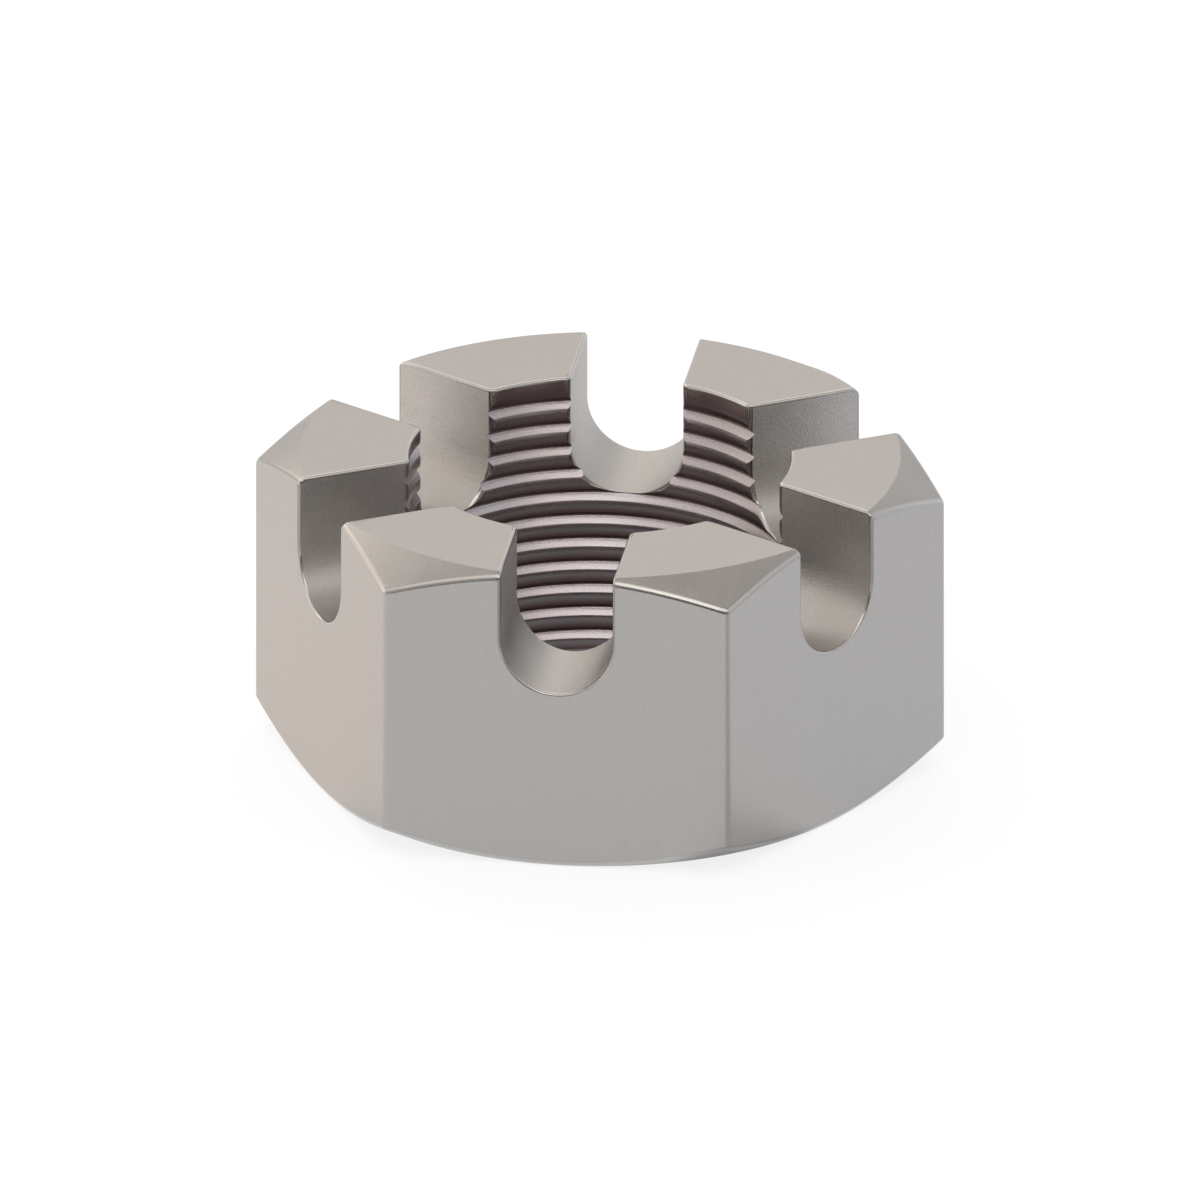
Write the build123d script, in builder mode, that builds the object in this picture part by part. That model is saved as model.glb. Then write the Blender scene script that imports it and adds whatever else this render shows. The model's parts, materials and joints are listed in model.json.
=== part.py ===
"""Thin hexagon castle nut for an M16 x 1 fine thread, made as one piece of steel.

Millimetres, +Z up. The nut stands on its flat bearing face with the crown of slots on top.
The origin is the centre of the bearing face. Two of the six flats face -Y and +Y, so two of
the hexagon's corners point along -X and +X.
"""

import math
import os

from build123d import *

# Hexagon
flat_count = 6
across_flats = 24.0
height = 12.6
corner_radius = 0.35

# Turned chamfer at each end: a cone that starts on a circle just inside the flats
chamfer_angle = 30.0
crown_circle_inset = 0.05
bearing_circle_inset = 0.18

# Slots for the split pin, one in the middle of each flat, with a full round floor
slot_width = 4.5
slot_floor_height = 7.5

# Thread: the bore is the wall at the crests, and the lead-in is a 45 degree countersink
thread_crest_diameter = 15.15
lead_in_depth = 0.825

# Sizes worked out from the ones above
flat_radius = across_flats / 2
corner_reach = flat_radius / math.cos(math.pi / flat_count)
chamfer_slope = math.tan(math.radians(chamfer_angle))
crown_circle_radius = flat_radius - crown_circle_inset
bearing_circle_radius = flat_radius - bearing_circle_inset
slot_centre_height = slot_floor_height + slot_width / 2
slot_turns = [flat * 360 / flat_count for flat in range(flat_count // 2)]
slot_planes = [Plane.XZ.rotated((0, 0, turn)) for turn in slot_turns]

with BuildPart() as castle_nut:
    # Hexagonal bar, with its long edges slightly rounded
    with BuildSketch() as hexagon:
        RegularPolygon(flat_radius, flat_count, major_radius=False)
        fillet(hexagon.vertices(), radius=corner_radius)
    extrude(amount=height)

    # Each slot runs right across the nut, through two opposite flats
    with BuildSketch(*slot_planes) as slot_profiles:
        with Locations((0, slot_centre_height)):
            Circle(slot_width / 2)
            Rectangle(slot_width, height, align=(Align.CENTER, Align.MIN))
    extrude(amount=corner_reach, both=True, mode=Mode.SUBTRACT)

    # The turned shape that takes the hexagon's corners down to a cone at each end
    with BuildSketch(Plane.XZ) as turned_profile:
        with BuildLine():
            Polyline(
                (0, 0),
                (bearing_circle_radius, 0),
                (corner_reach, (corner_reach - bearing_circle_radius) * chamfer_slope),
                (corner_reach, height - (corner_reach - crown_circle_radius) * chamfer_slope),
                (crown_circle_radius, height),
                (0, height),
                close=True,
            )
        make_face()
    revolve(axis=Axis.Z, mode=Mode.INTERSECT)

    # Threaded bore with its lead-in at the bearing face
    Hole(thread_crest_diameter / 2)
    bearing_circles = castle_nut.edges().filter_by(GeomType.CIRCLE).group_by(Axis.Z)[0]
    chamfer(bearing_circles.sort_by(SortBy.RADIUS)[0], length=lead_in_depth)

os.makedirs("parts", exist_ok=True)
castle_nut.part.label = "castle_nut"
export_step(castle_nut.part, "parts/castle_nut.step")
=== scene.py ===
"""Castle nut for an M16 x 1 fine thread: the visible piece, its steel finishes and the studio."""

import json
import math

import bmesh
import bpy
from mathutils import Matrix, Vector


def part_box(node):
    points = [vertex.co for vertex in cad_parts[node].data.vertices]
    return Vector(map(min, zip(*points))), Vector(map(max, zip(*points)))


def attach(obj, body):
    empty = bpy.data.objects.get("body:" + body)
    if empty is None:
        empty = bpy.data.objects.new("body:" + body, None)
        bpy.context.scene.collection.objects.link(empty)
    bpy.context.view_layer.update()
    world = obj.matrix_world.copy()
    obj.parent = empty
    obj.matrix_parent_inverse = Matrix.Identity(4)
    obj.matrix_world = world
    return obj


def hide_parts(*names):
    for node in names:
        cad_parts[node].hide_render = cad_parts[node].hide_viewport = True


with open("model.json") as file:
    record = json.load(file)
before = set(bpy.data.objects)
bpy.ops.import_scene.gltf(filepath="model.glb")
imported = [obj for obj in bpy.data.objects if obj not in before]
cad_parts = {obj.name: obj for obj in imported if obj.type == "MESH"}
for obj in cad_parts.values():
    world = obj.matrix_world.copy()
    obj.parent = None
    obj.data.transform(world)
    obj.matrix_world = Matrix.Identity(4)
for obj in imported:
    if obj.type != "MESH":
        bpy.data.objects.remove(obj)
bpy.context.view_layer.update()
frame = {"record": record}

MM = 0.001

# Sizes that the frame gives
HIGH_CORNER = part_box("castle_nut")[1]
MOUNTS = {mount["name"]: mount for mount in frame["record"]["mounts"]}
HEIGHT = HIGH_CORNER.z
FLAT_RADIUS = HIGH_CORNER.y
CREST_RADIUS = MOUNTS["thread"]["dims"]["r_mm"] * MM
LEAD_IN_DEPTH = HEIGHT - MOUNTS["thread"]["dims"]["length_mm"] * MM
SLOT_CENTRE_HEIGHT = MOUNTS["split_pin_slots_along_y"]["pos_m"][2]

# Hexagon, and a turned chamfer at each end that starts on a circle just inside the flats
FLAT_COUNT = 6
CORNER_REACH = FLAT_RADIUS / math.cos(math.pi / FLAT_COUNT)
CHAMFER_ANGLE = math.radians(30)
CROWN_CIRCLE_INSET = 0.05 * MM
BEARING_CIRCLE_INSET = 0.18 * MM
ROUND_STEPS = 240

# Slots
SLOT_WIDTH = 4.5 * MM
SLOT_FLOOR_STEPS = 28

# Cutting: how far a cutter runs past the metal, how near counts as touching, and the distances
# within which corners are one, lie on a cutting plane or leave a sliver between them
OVERRUN = 1.0 * MM
TOUCHING = 0.01 * MM
SAME_CORNER = 0.0001 * MM
ON_PLANE = 0.00001 * MM
SLIVER = 0.001 * MM

# Edge rounding: how far it reaches on each side of an edge, by the two finishes that meet there,
# the least angle between faces that is rounded, and the steps across it
HEXAGON_EDGE_REACH = 0.19 * MM
BEARING_EDGE_REACH = 0.18 * MM
SLOT_EDGE_REACH = 0.12 * MM
SLOT_BORE_EDGE_REACH = 0.2 * MM
ROUNDED_EDGE_ANGLE = math.radians(40)
EDGE_STEPS = 4

# How far a face may lean and count as upright, and the least angle between faces that looks crisp
UPRIGHT_TOLERANCE = math.radians(3)
CRISP_ANGLE = math.radians(24)

# The flare where a slot opens into the bore: the angles of its arc's points, and how far it runs
# straight back before the arc and straight on after it, in reaches
FLARE_ANGLES = (10, 30, 50, 68, 80)
FLARE_RUN_BEFORE = -0.7
FLARE_RUN_AFTER = 1.5

# Thread: right-handed. Its profile goes up one pitch from the top of a rounded crest, and each
# stretch has its length, how far its face looks up at both ends in degrees, and its steps
PITCH = 1.0 * MM
THREAD_STEPS = 120
CREST_ABOVE = (0.15 * MM, 0, 12, 3)
SHOULDER = (0.03 * MM, 12, 38, 2)
UPPER_FLANK = (0.23 * MM, 38, 46, 5)
ROOT = (0.03 * MM, 46, -54, 3)
LOWER_FLANK = (0.2 * MM, -54, -28, 4)
CREST_BELOW = (0.36 * MM, -28, 0, 5)
THREAD_PROFILE = (CREST_ABOVE, SHOULDER, UPPER_FLANK, ROOT, LOWER_FLANK, CREST_BELOW)

# The tap. At the crests its surface lies a hair outside the bored wall, so it cuts all of the
# thread. The groove's root is at a given height where the bore's wall faces the camera. Near the
# top of the crown the groove fades out between two heights, until the tap clears the wall. Spare
# turns at both ends are sliced off just beyond the nut
TAP_CREST_RADIUS = CREST_RADIUS + 0.005 * MM
TAP_FADED_RADIUS = CREST_RADIUS - 0.05 * MM
GROOVE_PHASE = math.radians(98.34)
GROOVE_HEIGHT_AT_PHASE = 0.48 * MM
LAST_FULL_GROOVE = HEIGHT - 0.8 * MM
LAST_GROOVE = HEIGHT - 0.25 * MM
TAP_SPARE_TURNS = 2
TAP_OVERRUN = 0.5 * PITCH

# Finishes, in the order of the piece's material slots
FLAT, TURNED, MILLED, THREAD, EDGE = range(5)


def new_mesh_object(bm, name, materials):
    """Make an object in the scene from a bmesh, and free the bmesh."""
    mesh = bpy.data.meshes.new(name)
    bm.to_mesh(mesh)
    bm.free()
    for material in materials:
        mesh.materials.append(material)
    piece = bpy.data.objects.new(name, mesh)
    bpy.context.scene.collection.objects.link(piece)
    return piece


def paint(bm, finish):
    """Give every face of the bmesh one of the finishes."""
    for face in bm.faces:
        face.material_index = finish


def clean(bm):
    """Merge doubles and point every face outwards."""
    bmesh.ops.remove_doubles(bm, verts=bm.verts[:], dist=SAME_CORNER)
    bmesh.ops.recalc_face_normals(bm, faces=bm.faces[:])


def slice_off(bm, point, normal, finish):
    """Cut away what lies beyond a plane, and close the cut with one face."""
    cut = bmesh.ops.bisect_plane(
        bm,
        geom=bm.verts[:] + bm.edges[:] + bm.faces[:],
        dist=ON_PLANE,
        plane_co=point,
        plane_no=normal,
        clear_outer=True,
    )
    rim = [item for item in cut["geom_cut"] if isinstance(item, bmesh.types.BMEdge)]
    bmesh.ops.edgeloop_fill(bm, edges=rim, mat_nr=finish, use_smooth=True)


def spin_outline(bm, outline, steps):
    """Turn a closed outline, given as (radius, height) points, once round the axis."""
    corners = [bm.verts.new((radius, 0, height)) for radius, height in outline]
    edges = [bm.edges.new(pair) for pair in zip(corners, corners[1:] + corners[:1])]
    bmesh.ops.spin(
        bm,
        geom=corners + edges,
        cent=(0, 0, 0),
        axis=(0, 0, 1),
        dvec=(0, 0, 0),
        angle=math.tau,
        steps=steps,
        use_merge=True,
        use_duplicate=False,
    )


def turned_blank():
    """The turned ring: chamfer cones outside, bored hole and lead-in cone inside."""
    outer = CORNER_REACH + OVERRUN
    slope = math.tan(CHAMFER_ANGLE)
    bearing_circle_radius = FLAT_RADIUS - BEARING_CIRCLE_INSET
    crown_circle_radius = FLAT_RADIUS - CROWN_CIRCLE_INSET
    outline = [
        (CREST_RADIUS + LEAD_IN_DEPTH, 0),
        (bearing_circle_radius, 0),
        (outer, (outer - bearing_circle_radius) * slope),
        (outer, HEIGHT - (outer - crown_circle_radius) * slope),
        (crown_circle_radius, HEIGHT),
        (CREST_RADIUS, HEIGHT),
        (CREST_RADIUS, LEAD_IN_DEPTH),
    ]
    bm = bmesh.new()
    spin_outline(bm, outline, ROUND_STEPS)
    clean(bm)
    paint(bm, TURNED)
    for face in bm.faces:
        if max(vert.co.xy.length for vert in face.verts) < CREST_RADIUS + TOUCHING:
            face.material_index = THREAD
    return bm


def cut_flats(bm):
    """Slice the six flats off the turned blank and close each cut with one face."""
    for flat in range(FLAT_COUNT):
        turn = math.tau * (flat + 0.5) / FLAT_COUNT
        normal = Vector((math.cos(turn), math.sin(turn), 0))
        slice_off(bm, normal * FLAT_RADIUS, normal, FLAT)
    bmesh.ops.recalc_face_normals(bm, faces=bm.faces[:])


def slot_outline(offset):
    """The slot's U as (across, height) points, made wider and deeper by an offset."""
    radius = SLOT_WIDTH / 2 + offset
    points = []
    for step in range(SLOT_FLOOR_STEPS + 1):
        angle = math.pi + math.pi * step / SLOT_FLOOR_STEPS
        points.append((radius * math.cos(angle), SLOT_CENTRE_HEIGHT + radius * math.sin(angle)))
    return points + [(radius, HEIGHT + OVERRUN), (-radius, HEIGHT + OVERRUN)]


def slot_cutter(turn):
    """A bar with a half-round underside that runs across the nut through two flats."""
    bm = bmesh.new()
    outline = [bm.verts.new((x, -CORNER_REACH, z)) for x, z in slot_outline(0)]
    profile = bm.faces.new(outline)
    swept = bmesh.ops.extrude_face_region(bm, geom=[profile])
    moved = [item for item in swept["geom"] if isinstance(item, bmesh.types.BMVert)]
    bmesh.ops.translate(bm, verts=moved, vec=(0, 2 * CORNER_REACH, 0))
    bmesh.ops.rotate(bm, verts=bm.verts[:], cent=(0, 0, 0), matrix=Matrix.Rotation(turn, 3, "Z"))
    bmesh.ops.recalc_face_normals(bm, faces=bm.faces[:])
    paint(bm, MILLED)
    return bm


def flare_sections():
    """How a slot widens towards the bore, as (distance from the axis, offset) pairs."""
    reach = SLOT_BORE_EDGE_REACH
    angles = [math.radians(angle) for angle in FLARE_ANGLES]
    arc = [
        (CREST_RADIUS + reach * (1 - math.sin(angle)), reach * (1 - math.cos(angle)))
        for angle in angles
    ]

    def straight_from(point, angle, run):
        distance, offset = point
        return distance - run * reach * math.cos(angle), offset + run * reach * math.sin(angle)

    first = straight_from(arc[0], angles[0], FLARE_RUN_BEFORE)
    last = straight_from(arc[-1], angles[-1], FLARE_RUN_AFTER)
    return [first, *arc, last]


def flare_cutters():
    """Six cutters that round the edges between the slots and the bore, as deburring does."""
    bm = bmesh.new()
    for flat in range(FLAT_COUNT):
        rings = []
        for distance, offset in flare_sections():
            ring = [
                bm.verts.new((x, math.sqrt(distance ** 2 - x ** 2), z))
                for x, z in slot_outline(offset)
            ]
            rim = [bm.edges.new(pair) for pair in zip(ring, ring[1:] + ring[:1])]
            if rings:
                bmesh.ops.bridge_loops(bm, edges=rings[-1][1] + rim)
            rings.append((ring, rim))
        bm.faces.new(rings[0][0])
        bm.faces.new(rings[-1][0])
        corners = [vert for ring, _ in rings for vert in ring]
        matrix = Matrix.Rotation(math.tau * flat / FLAT_COUNT, 3, "Z")
        bmesh.ops.rotate(bm, verts=corners, cent=(0, 0, 0), matrix=matrix)
    bmesh.ops.recalc_face_normals(bm, faces=bm.faces[:])
    paint(bm, EDGE)
    return bm


def groove_outline():
    """One pitch of the tap's ridge as (radius, height) points, from crest to crest."""
    above_root = (CREST_ABOVE, SHOULDER, UPPER_FLANK)
    height = -sum(stretch[0] for stretch in above_root) - ROOT[0] / 2
    radius = TAP_CREST_RADIUS
    points = [(radius, height)]
    for length, start, end, steps in THREAD_PROFILE:
        for step in range(steps):
            tilt = math.radians(start + (end - start) * (step + 0.5) / steps)
            height += length / steps
            radius += length / steps * math.tan(tilt)
            points.append((radius, height))
    drift = (radius - TAP_CREST_RADIUS) / PITCH
    return [(radius - drift * (height - points[0][1]), height) for radius, height in points]


def wind_ridge(bm):
    """Sweep the ridge's outline once round, and stack copies of that turn to the tap's length."""
    turns = math.ceil(HEIGHT / PITCH) + 2 * TAP_SPARE_TURNS
    start = GROOVE_HEIGHT_AT_PHASE - TAP_SPARE_TURNS * PITCH
    corners = [bm.verts.new((radius, 0, start + height)) for radius, height in groove_outline()]
    edges = [bm.edges.new(pair) for pair in zip(corners, corners[1:])]
    bmesh.ops.rotate(
        bm, verts=corners, cent=(0, 0, 0), matrix=Matrix.Rotation(GROOVE_PHASE, 3, "Z")
    )
    bmesh.ops.spin(
        bm,
        geom=corners + edges,
        cent=(0, 0, 0),
        axis=(0, 0, 1),
        dvec=(0, 0, PITCH / THREAD_STEPS),
        angle=math.tau,
        steps=THREAD_STEPS,
        use_merge=False,
        use_duplicate=False,
    )
    one_turn = bm.verts[:] + bm.edges[:] + bm.faces[:]
    for turn in range(1, turns):
        copied = bmesh.ops.duplicate(bm, geom=one_turn)["geom"]
        copied = [item for item in copied if isinstance(item, bmesh.types.BMVert)]
        bmesh.ops.translate(bm, verts=copied, vec=(0, 0, turn * PITCH))
    bmesh.ops.remove_doubles(bm, verts=bm.verts[:], dist=SLIVER)


def fade_last_groove(bm):
    """Let the groove run out below the top of the crown, where the bore stays plain."""
    for vert in bm.verts:
        radius = math.hypot(vert.co.x, vert.co.y)
        turn = math.atan2(vert.co.y, vert.co.x) - GROOVE_PHASE
        phase = (vert.co.z - GROOVE_HEIGHT_AT_PHASE) / PITCH - turn / math.tau
        groove_height = vert.co.z - (phase - round(phase)) * PITCH
        depth = (LAST_GROOVE - groove_height) / (LAST_GROOVE - LAST_FULL_GROOVE)
        depth = min(max(depth, 0), 1)
        kept = TAP_FADED_RADIUS + (radius - TAP_FADED_RADIUS) * depth
        vert.co.x *= kept / radius
        vert.co.y *= kept / radius


def tap():
    """The threading tap: a rod whose ridge is the nut's thread groove."""
    bm = bmesh.new()
    wind_ridge(bm)
    fade_last_groove(bm)
    slice_off(bm, (0, 0, -TAP_OVERRUN), (0, 0, -1), THREAD)
    slice_off(bm, (0, 0, HEIGHT + TAP_OVERRUN), (0, 0, 1), THREAD)
    bmesh.ops.recalc_face_normals(bm, faces=bm.faces[:])
    paint(bm, THREAD)
    return bm


def apply_modifiers(piece):
    """Replace the piece's mesh with what its modifiers make of it."""
    depsgraph = bpy.context.evaluated_depsgraph_get()
    finished = bpy.data.meshes.new_from_object(piece.evaluated_get(depsgraph))
    piece.modifiers.clear()
    piece.data = finished


def subtract(piece, cutter):
    """Cut one closed object out of another, and drop the cutter."""
    cut = piece.modifiers.new("cut", "BOOLEAN")
    cut.operation = "DIFFERENCE"
    cut.solver = "EXACT"
    cut.object = cutter
    apply_modifiers(piece)
    bpy.data.objects.remove(cutter)


def edge_reach(edge):
    """How far the rounding of an edge reaches, or nothing for an edge that stays crisp."""
    if len(edge.link_faces) != 2 or edge.calc_face_angle(0) < ROUNDED_EDGE_ANGLE:
        return 0
    lowest = min(vert.co.z for vert in edge.verts)
    if lowest < TOUCHING:
        return 0
    finishes = {face.material_index for face in edge.link_faces}
    if finishes == {TURNED, THREAD}:
        return SLOT_EDGE_REACH if lowest > HEIGHT / 2 else 0
    if THREAD in finishes:
        return 0
    if finishes == {FLAT, TURNED} and lowest < HEIGHT / 2:
        return BEARING_EDGE_REACH
    return HEXAGON_EDGE_REACH if finishes <= {FLAT, TURNED} else SLOT_EDGE_REACH


def round_edges(piece):
    """Round the edges between flats, cones, slots and bore. The turned circles stay crisp."""
    bm = bmesh.new()
    bm.from_mesh(piece.data)
    bmesh.ops.remove_doubles(bm, verts=bm.verts[:], dist=SAME_CORNER)
    weight = bm.edges.layers.float.new("bevel_weight_edge")
    for edge in bm.edges:
        edge[weight] = edge_reach(edge) / HEXAGON_EDGE_REACH
    bm.to_mesh(piece.data)
    bm.free()
    bevel = piece.modifiers.new("edges", "BEVEL")
    bevel.limit_method = "WEIGHT"
    bevel.offset_type = "OFFSET"
    bevel.width = HEXAGON_EDGE_REACH
    bevel.segments = EDGE_STEPS
    bevel.material = EDGE
    bevel.use_clamp_overlap = False
    apply_modifiers(piece)


def finish_corners_as_flats(piece):
    """Give the rounded corners between the flats the flats' finish, as both come with the bar."""
    for face in piece.data.polygons:
        upright = abs(face.normal.z) < math.sin(UPRIGHT_TOLERANCE)
        beyond_flats = face.center.xy.length > FLAT_RADIUS + OVERRUN
        if face.material_index == EDGE and upright and beyond_flats:
            face.material_index = FLAT


def merge_slivers(piece):
    """Merge the corners that cutting left too close together."""
    bm = bmesh.new()
    bm.from_mesh(piece.data)
    bmesh.ops.remove_doubles(bm, verts=bm.verts[:], dist=SLIVER)
    bmesh.ops.dissolve_degenerate(bm, edges=bm.edges[:], dist=SAME_CORNER)
    bm.to_mesh(piece.data)
    bm.free()


def castle_nut(materials):
    """The whole nut: turned blank, flats, slots, rounded edges, then the thread."""
    blank = turned_blank()
    cut_flats(blank)
    nut = new_mesh_object(blank, "castle_nut_steel", materials)
    for pair in range(FLAT_COUNT // 2):
        cutter = new_mesh_object(slot_cutter(math.tau * pair / FLAT_COUNT), "slot", materials)
        subtract(nut, cutter)
    subtract(nut, new_mesh_object(flare_cutters(), "flares", materials))
    round_edges(nut)
    finish_corners_as_flats(nut)
    subtract(nut, new_mesh_object(tap(), "tap", materials))
    merge_slivers(nut)
    nut.data.shade_smooth()
    nut.data.set_sharp_from_angle(angle=CRISP_ANGLE)
    weighted = nut.modifiers.new("flat_faces", "WEIGHTED_NORMAL")
    weighted.keep_sharp = True
    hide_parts("castle_nut")
    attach(nut, "root")
    return nut


# Where a Mix node for colours has its factor and two colours among its inputs, and its result
# among its outputs
MIX_FACTOR, MIX_FIRST, MIX_SECOND, MIX_RESULT = 0, 6, 7, 2


class Value:
    """A number or vector that varies over a surface. Arithmetic on it adds Math nodes."""

    def __init__(self, shading, socket):
        self.shading = shading
        self.socket = socket

    def math(self, operation, *others):
        """What a Math node makes of this value and others."""
        return self.shading.node("ShaderNodeMath", {"operation": operation}, [self, *others])[0]

    def __add__(self, other):
        return self.math("ADD", other)

    __radd__ = __add__

    def __mul__(self, other):
        return self.math("MULTIPLY", other)

    __rmul__ = __mul__

    def __sub__(self, other):
        return self.math("SUBTRACT", other)

    def __rsub__(self, other):
        return self.shading.node("ShaderNodeMath", {"operation": "SUBTRACT"}, [other, self])[0]


class Shading:
    """The nodes of one material or of the world."""

    def __init__(self, owner):
        owner.use_nodes = True
        self.tree = owner.node_tree
        self.tree.nodes.clear()

    def node(self, kind, settings, inputs):
        """Add a node: first its settings, then a value or link for each socket. Gives its outputs."""
        node = self.tree.nodes.new(kind)
        for name, value in settings.items():
            setattr(node, name, value)
        for key, value in inputs.items() if isinstance(inputs, dict) else enumerate(inputs):
            if isinstance(value, Value):
                self.tree.links.new(value.socket, node.inputs[key])
            else:
                node.inputs[key].default_value = value
        return [Value(self, socket) for socket in node.outputs]

    def reading(self, kind, output):
        """What a node without inputs reads off the scene, such as a place or a normal."""
        return Value(self, self.tree.nodes.new(kind).outputs[output])

    def vector_math(self, operation, inputs):
        """What a Vector Math node makes of its inputs: a vector, then a number."""
        return self.node("ShaderNodeVectorMath", {"operation": operation}, inputs)

    def vector(self, x, y, z):
        """A vector from three numbers or values."""
        return self.node("ShaderNodeCombineXYZ", {}, [x, y, z])[0]

    def noise(self, vector, scale, detail=2):
        """Soft noise round 0.5, with so many features per unit of the vector."""
        inputs = {"Vector": vector, "Scale": scale, "Detail": detail}
        return self.node("ShaderNodeTexNoise", {}, inputs)[0]

    def ramp(self, value, low, high):
        """0 below the low value, 1 above the high one, and a soft step between them."""
        settings = {"interpolation_type": "SMOOTHSTEP"}
        return self.node("ShaderNodeMapRange", settings, [value, low, high])[0]

    def blend(self, factor, first, second):
        """A colour between two others, each given as three numbers or as a value."""
        first, second = (
            colour if isinstance(colour, Value) else (*colour, 1) for colour in (first, second)
        )
        inputs = {MIX_FACTOR: factor, MIX_FIRST: first, MIX_SECOND: second}
        return self.node("ShaderNodeMix", {"data_type": "RGBA"}, inputs)[MIX_RESULT]


class SteelShading(Shading):
    """The nodes of one steel, with where a point lies on the nut in millimetres.

    Its distance is from the axis, across is how far it is from the middle of its slot, and
    upward is how far its surface looks up, from -1 to 1.
    """

    def __init__(self, material):
        super().__init__(material)
        place = self.reading("ShaderNodeTexCoord", "Object")
        self.point = self.vector_math("SCALE", {"Vector": place, "Scale": 1 / MM})[0]
        self.x, self.y, self.z = self.node("ShaderNodeSeparateXYZ", {}, [self.point])
        self.distance = self.vector_math("LENGTH", [self.vector(self.x, self.y, 0)])[1]
        half = math.pi / FLAT_COUNT
        turn = self.y.math("ARCTAN2", self.x) - half
        self.across = self.distance * turn.math("WRAP", half, -half).math("SINE")
        normal = self.reading("ShaderNodeNewGeometry", "Normal")
        _, _, self.upward = self.node("ShaderNodeSeparateXYZ", {}, [normal])


# Steel finishes: the plain tone, the thread's painted lit and painted shade tones, and how many clouds
# of a mottle there are to a millimetre, with its share in the tone and its effect on the roughness
STEEL_TONE = (0.464, 0.45, 0.439)
THREAD_TONE = (0.48, 0.447, 0.463)
THREAD_PAINTED_SHADE_TONE = (0.16, 0.095, 0.085)
MOTTLE_SCALE = 0.9
MOTTLE_SHARE = 0.2
ROUGHNESS_SPREAD = 0.08

# Grain, knocks and tool lines: how many to a millimetre. Lines have first their share beside the
# grain, then how many there are across them and, if they aren't rings, how few along them
FINE_GRAIN = 15
KNOCKS = 14
DRAWN_LINES = (0.15, 7, 0.3)
TURNED_RINGS = (0.2, 9)
MILLED_LINES = (0.15, 9, 0.5)
TAPPED_LINES = (0.3, 14, 0.6)

# Where a finish's painted light and shade change: between two heights or distances in
# millimetres, or between two amounts of looking up
TOP = HEIGHT / MM
SLOT_FLOOR = (SLOT_CENTRE_HEIGHT - SLOT_WIDTH / 2) / MM
SLOT_SIDE = SLOT_WIDTH / 2 / MM
ROUND_FLOOR = (0, 0.8)
PAINTED_LIT_FLANK = (-0.5, 0.25)
THREAD_END = (TOP - 1.0, TOP - 0.5)
CROWN = (SLOT_FLOOR, SLOT_FLOOR + 2.0)
HIGH_IN_CROWN = (SLOT_FLOOR + 1.0, SLOT_FLOOR + 2.5)
BESIDE_SLOT = (SLOT_SIDE + 0.15, SLOT_SIDE + 0.35)
SLANTING = (0.05, 0.45)

# How much painted shade a finish gets there
ROUND_FLOOR_PAINTED_SHADE = 0.4
THREAD_END_PAINTED_SHADE = 0.6
CROWN_PAINTED_SHADE = 0.12
UPRIGHT_EDGE_PAINTED_SHADE = 0.5


def shade(tone, amount):
    """A tone made so much lighter or darker."""
    return [channel * amount for channel in tone]


def lined_grain(steel, share, lines):
    """Fine grain with a share of lines, given as a vector that passes one line for each unit."""
    return share * steel.noise(lines, 1) + (1 - share) * steel.noise(steel.point, FINE_GRAIN)


def drawn_marks(steel):
    """Fine upright lines from the drawing die."""
    share, many, few = DRAWN_LINES
    lines = steel.vector(steel.x * many, steel.y * many, steel.z * few)
    return lined_grain(steel, share, lines), 0


def turned_marks(steel):
    """Fine rings that the lathe tool left."""
    share, many = TURNED_RINGS
    return lined_grain(steel, share, steel.vector(steel.distance * many, 0, 0)), 0


def milled_marks_and_painted_shade(steel):
    """Lines that the slotting cutter left along each slot, and painted shade on the round floor."""
    share, many, few = MILLED_LINES
    lines = steel.vector(steel.across * many, steel.distance * few, steel.z * many)
    # Painted shade: the slot's faces are darker the more they look up
    painted_shade = ROUND_FLOOR_PAINTED_SHADE * steel.ramp(steel.upward, *ROUND_FLOOR)
    return lined_grain(steel, share, lines), painted_shade


def tapped_marks_and_painted_light(steel):
    """Lines that the tap dragged round the thread, with painted light where it looks up.

    It has painted shade where it looks down, more of it at its end, and a little more all through the
    crown.
    """
    share, many, few = TAPPED_LINES
    lines = steel.vector(steel.x * few, steel.y * few, steel.z * many)
    # Painted light on the flanks that look up, weaker at the thread's end and in the crown; the rest
    # is painted shade
    end = 1 - THREAD_END_PAINTED_SHADE * steel.ramp(steel.z, *THREAD_END)
    crown = 1 - CROWN_PAINTED_SHADE * steel.ramp(steel.z, *CROWN)
    painted_light = steel.ramp(steel.upward, *PAINTED_LIT_FLANK) * end * crown
    return lined_grain(steel, share, lines), 1 - painted_light


def burnished_marks_and_painted_shade(steel):
    """Small knocks along the edges, and painted shade on upright edges, most of all high up at a slot.
    """
    # Painted shade on upright edges, strongest high up beside a slot
    upright = 1 - steel.ramp(steel.upward.math("ABSOLUTE"), *SLANTING)
    beside_slot = 1 - steel.ramp(steel.across.math("ABSOLUTE"), *BESIDE_SLOT)
    at_slot = steel.ramp(steel.z, *HIGH_IN_CROWN) * beside_slot
    painted_shade = upright * (UPRIGHT_EDGE_PAINTED_SHADE + (1 - UPRIGHT_EDGE_PAINTED_SHADE) * at_slot)
    return steel.noise(steel.point, KNOCKS, detail=3), painted_shade


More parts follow.
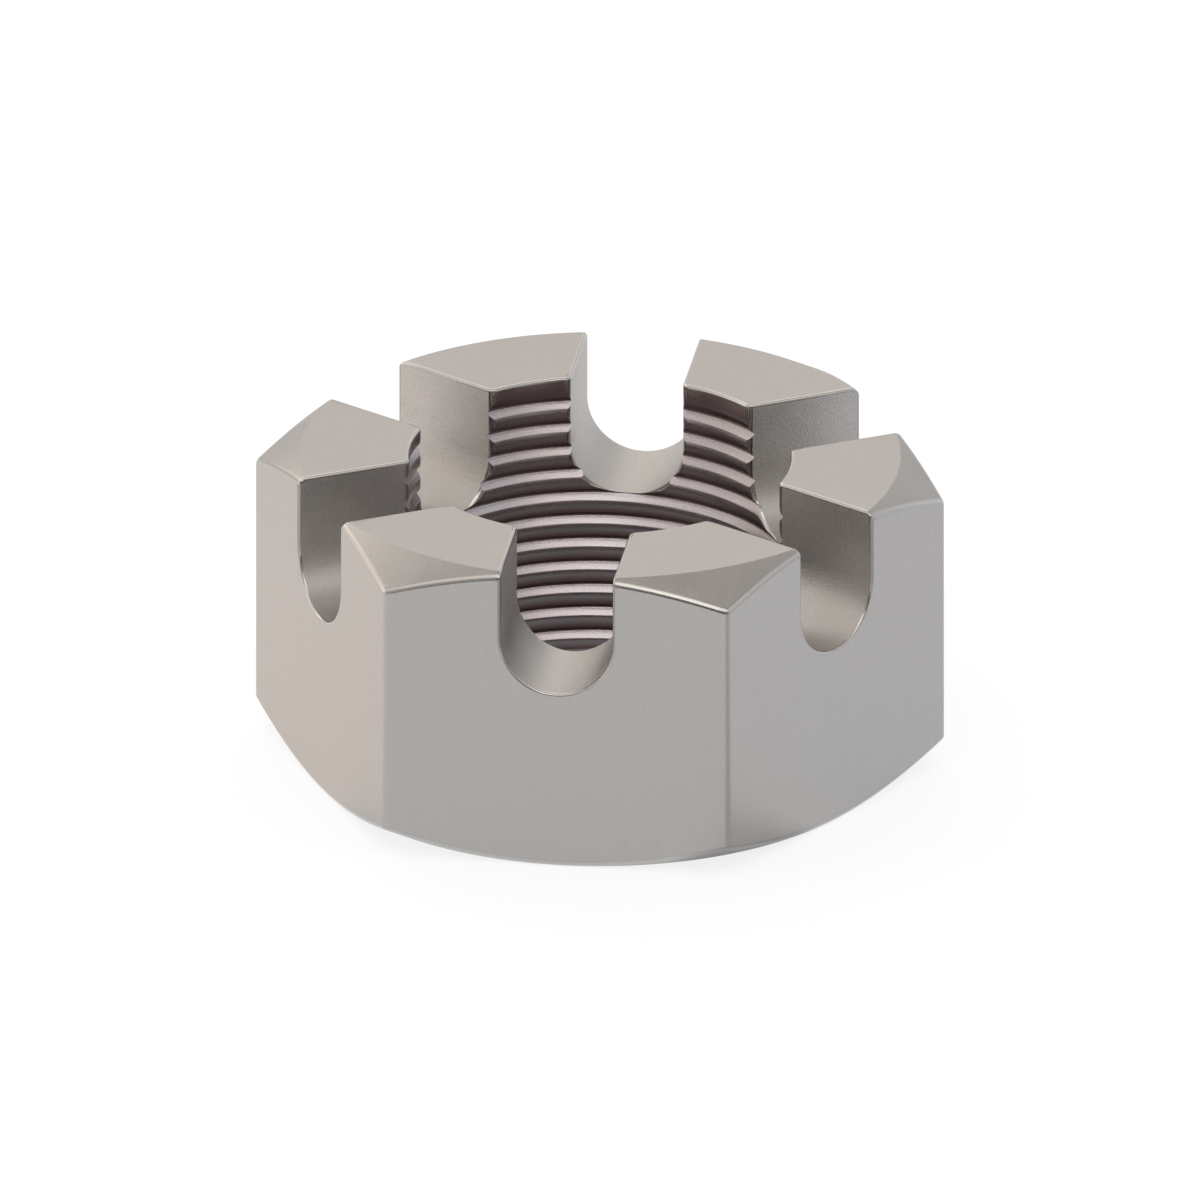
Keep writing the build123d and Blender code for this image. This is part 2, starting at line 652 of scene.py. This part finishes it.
def steel_material(name, tone, painted_shade_tone, spread, roughness, relief, marks):
    """Satin steel, of a tone that spreads so far and of a painted shade tone, if any, where its marks
    paint shade.

    The relief is how high the marks stand, in millimetres.
    """
    material = bpy.data.materials.new(name)
    steel = SteelShading(material)
    height, painted_shade = marks(steel)
    mottle = steel.noise(steel.point, MOTTLE_SCALE, detail=3)
    level = MOTTLE_SHARE * mottle + (1 - MOTTLE_SHARE) * height
    colour = steel.blend(level, shade(tone, 1 - spread), shade(tone, 1 + spread))
    # Painted shade: the colour gives way to the painted shade tone where the marks paint shade
    if painted_shade_tone:
        colour = steel.blend(painted_shade, colour, painted_shade_tone)
    bump = {"Strength": 1.0, "Distance": relief * MM, "Height": height}
    surface = steel.node("ShaderNodeBsdfPrincipled", {}, {
        "Base Color": colour,
        "Metallic": 1.0,
        "Roughness": roughness - ROUGHNESS_SPREAD / 2 + ROUGHNESS_SPREAD * mottle,
        "Normal": steel.node("ShaderNodeBump", {}, bump)[0],
    })[0]
    steel.node("ShaderNodeOutputMaterial", {}, {"Surface": surface})
    return material


# Each finish: its name, tone, painted shade tone, spread of tone, roughness, relief, and marks
# with their painted light and shade, in the order of the piece's material slots
FINISHES = (
    ("steel_flat", shade(STEEL_TONE, 1.045), None, 0.18, 0.38, 0.004, drawn_marks),
    ("steel_turned", shade(STEEL_TONE, 0.91), None, 0.16, 0.34, 0.015, turned_marks),
    ("steel_milled", shade(STEEL_TONE, 1.13), STEEL_TONE, 0.4, 0.45, 0.013, milled_marks_and_painted_shade),
    ("steel_thread", THREAD_TONE, THREAD_PAINTED_SHADE_TONE, 0.3, 0.26, 0.008, tapped_marks_and_painted_light),
    ("steel_edge", shade(STEEL_TONE, 1.1), shade(STEEL_TONE, 0.7), 0.15, 0.12, 0.003, burnished_marks_and_painted_shade),
)


# Light from patches of sky: azimuth, elevation, sharpness, strength and warmth. A negative
# strength is a black card that takes light away
SOFTBOXES = (
    (0, 55, 25, 0.95, 0.03),
    (10, 40, 100, 1.3, 0.03),
    (45, 55, 25, 0.85, 0.08),
    (315, 55, 25, 0.35, 0.1),
    (180, 55, 25, 0.72, 0.06),
    (180, 33, 16, 0.5, 0.05),
    (225, 33, 16, 1.15, 0.1),
    (290, 40, 14, 0.25, 0.05),
    (270, 10, 14, 0.95, 0.16),
    (135, 10, 14, 0.4, -0.2),
    (90, 33, 16, 0.28, -0.15),
    (15, 5, 6, -0.5, 0.05),
    (130, 70, 20, -0.19, 0.0),
)

# The plain light from all round, and how far below the horizon it has given way to white
ROOM_STRENGTH = 0.575
ROOM_WARMTH = 0.05
HORIZON_DEPTH = 0.02

# Floor: the share of light that it scatters, the glow that makes it white, and the share of that
# glow that the steel sees. Under the nut a smaller share is left as a painted shadow, and it grows
# to the whole between two distances from the axis
FLOOR_SCATTER = 0.25
FLOOR_GLOW = (0.8, 0.808, 0.816)
REFLECTED_GLOW = 0.87
SHADED_GLOW = 0.25
SHADE_ENDS = (8 * MM, 11.5 * MM)

# Painted reflections: parts of the floor that only the steel sees in another tone, with the
# azimuth of the middle, how many degrees to the side the tone starts and is full, and its glow
FLOOR_PAINTED_REFLECTIONS = (
    (275, 45, 26, (1.02, 0.945, 0.89)),
    (38, 18, 8, (0.45, 0.45, 0.46)),
    (92, 32, 18, (0.76, 0.785, 0.82)),
)
FLOOR_HALF_WIDTH = 1.5
FLOOR_GAP = 0.01 * MM


def tint(strength, warmth):
    """Light of one strength, redder with more warmth and bluer with less."""
    return Vector((strength * (1 + warmth), strength, strength * (1 - warmth)))


def direction(azimuth, elevation):
    """A unit vector, with azimuth 0 towards -Y and 90 degrees towards +X."""
    azimuth, elevation = math.radians(azimuth), math.radians(elevation)
    level = math.cos(elevation)
    return Vector((math.sin(azimuth) * level, -math.cos(azimuth) * level, math.sin(elevation)))


def studio_light():
    """The world: plain light from all round, patches of more light, and white below the floor."""
    world = bpy.data.worlds.new("studio")
    bpy.context.scene.world = world
    sky = Shading(world)
    towards = sky.reading("ShaderNodeTexCoord", "Generated")
    light = tint(ROOM_STRENGTH, ROOM_WARMTH)
    for azimuth, elevation, sharpness, strength, warmth in SOFTBOXES:
        closeness = sky.vector_math("DOT_PRODUCT", [towards, direction(azimuth, elevation)])[1]
        glow = (sharpness * (closeness - 1)).math("EXPONENT")
        colour = tint(strength, warmth)
        patch = sky.vector_math("SCALE", {"Vector": colour, "Scale": glow})[0]
        light = sky.vector_math("ADD", [light, patch])[0]
    _, _, height = sky.node("ShaderNodeSeparateXYZ", {}, [towards])
    light = sky.blend(sky.ramp(height, -HORIZON_DEPTH, 0), (1, 1, 1), light)
    background = sky.node("ShaderNodeBackground", {}, {"Color": light})[0]
    sky.node("ShaderNodeOutputWorld", {}, {"Surface": background})


def floor_material():
    """White paper that keeps the nut's soft shadow, glows less where the nut stands as a painted
    shadow, and has painted reflections.
    """
    material = bpy.data.materials.new("floor")
    paper = Shading(material)
    grey = (FLOOR_SCATTER, FLOOR_SCATTER, FLOOR_SCATTER, 1)
    scattered = paper.node("ShaderNodeBsdfDiffuse", {}, {"Color": grey})[0]
    from_camera = paper.reading("ShaderNodeLightPath", "Is Camera Ray")
    from_gloss = paper.reading("ShaderNodeLightPath", "Is Glossy Ray")
    seen = from_camera.math("MAXIMUM", REFLECTED_GLOW * from_gloss)
    place = paper.reading("ShaderNodeTexCoord", "Object")
    distance = paper.vector_math("LENGTH", [place])[1]
    # Painted shadow: the floor's glow is smaller under the nut
    glow = seen * (SHADED_GLOW + (1 - SHADED_GLOW) * paper.ramp(distance, *SHADE_ENDS))
    colour = FLOOR_GLOW
    # Painted reflections: patches of the floor that only glossy rays see, lighter, darker or cooler
    for azimuth, start, full, tone in FLOOR_PAINTED_REFLECTIONS:
        middle = direction(azimuth, 0)
        beside = paper.vector_math("DOT_PRODUCT", [place, middle])[1].math("DIVIDE", distance)
        share = paper.ramp(beside, math.cos(math.radians(start)), math.cos(math.radians(full)))
        colour = paper.blend(from_gloss * share, colour, tone)
    glowing = paper.node("ShaderNodeEmission", {}, {"Color": colour, "Strength": glow})[0]
    both = paper.node("ShaderNodeAddShader", {}, [scattered, glowing])[0]
    paper.node("ShaderNodeOutputMaterial", {}, {"Surface": both})
    return material


def floor():
    """The floor just under the nut, much wider than the picture."""
    material = floor_material()
    bm = bmesh.new()
    bmesh.ops.create_grid(bm, x_segments=1, y_segments=1, size=FLOOR_HALF_WIDTH)
    bmesh.ops.translate(bm, verts=bm.verts[:], vec=(0, 0, -FLOOR_GAP))
    new_mesh_object(bm, "floor", [material])


# Camera: the photograph is an orthographic view. Its angles are in degrees
CAMERA_AZIMUTH = 8.34
CAMERA_ELEVATION = 24.14
CAMERA_DISTANCE = 500 * MM
NEAREST_SEEN = 10 * MM
FARTHEST_SEEN = 10000 * MM
FRAME_WIDTH = 47.66 * MM
LOOK_AT_HEIGHT = 6.29 * MM


def camera():
    """An orthographic camera on the photograph's line of sight."""
    data = bpy.data.cameras.new("camera")
    data.type = "ORTHO"
    data.ortho_scale = FRAME_WIDTH
    data.clip_start = NEAREST_SEEN
    data.clip_end = FARTHEST_SEEN
    viewer = bpy.data.objects.new("camera", data)
    bpy.context.scene.collection.objects.link(viewer)
    back = direction(CAMERA_AZIMUTH, CAMERA_ELEVATION)
    viewer.location = Vector((0, 0, LOOK_AT_HEIGHT)) + back * CAMERA_DISTANCE
    viewer.rotation_mode = "QUATERNION"
    viewer.rotation_quaternion = (-back).to_track_quat("-Z", "Y")
    bpy.context.scene.camera = viewer


def main():
    """Make the nut, the studio and the camera."""
    castle_nut([steel_material(*finish) for finish in FINISHES])
    studio_light()
    floor()
    camera()
    bpy.context.scene.view_settings.view_transform = "Standard"


main()
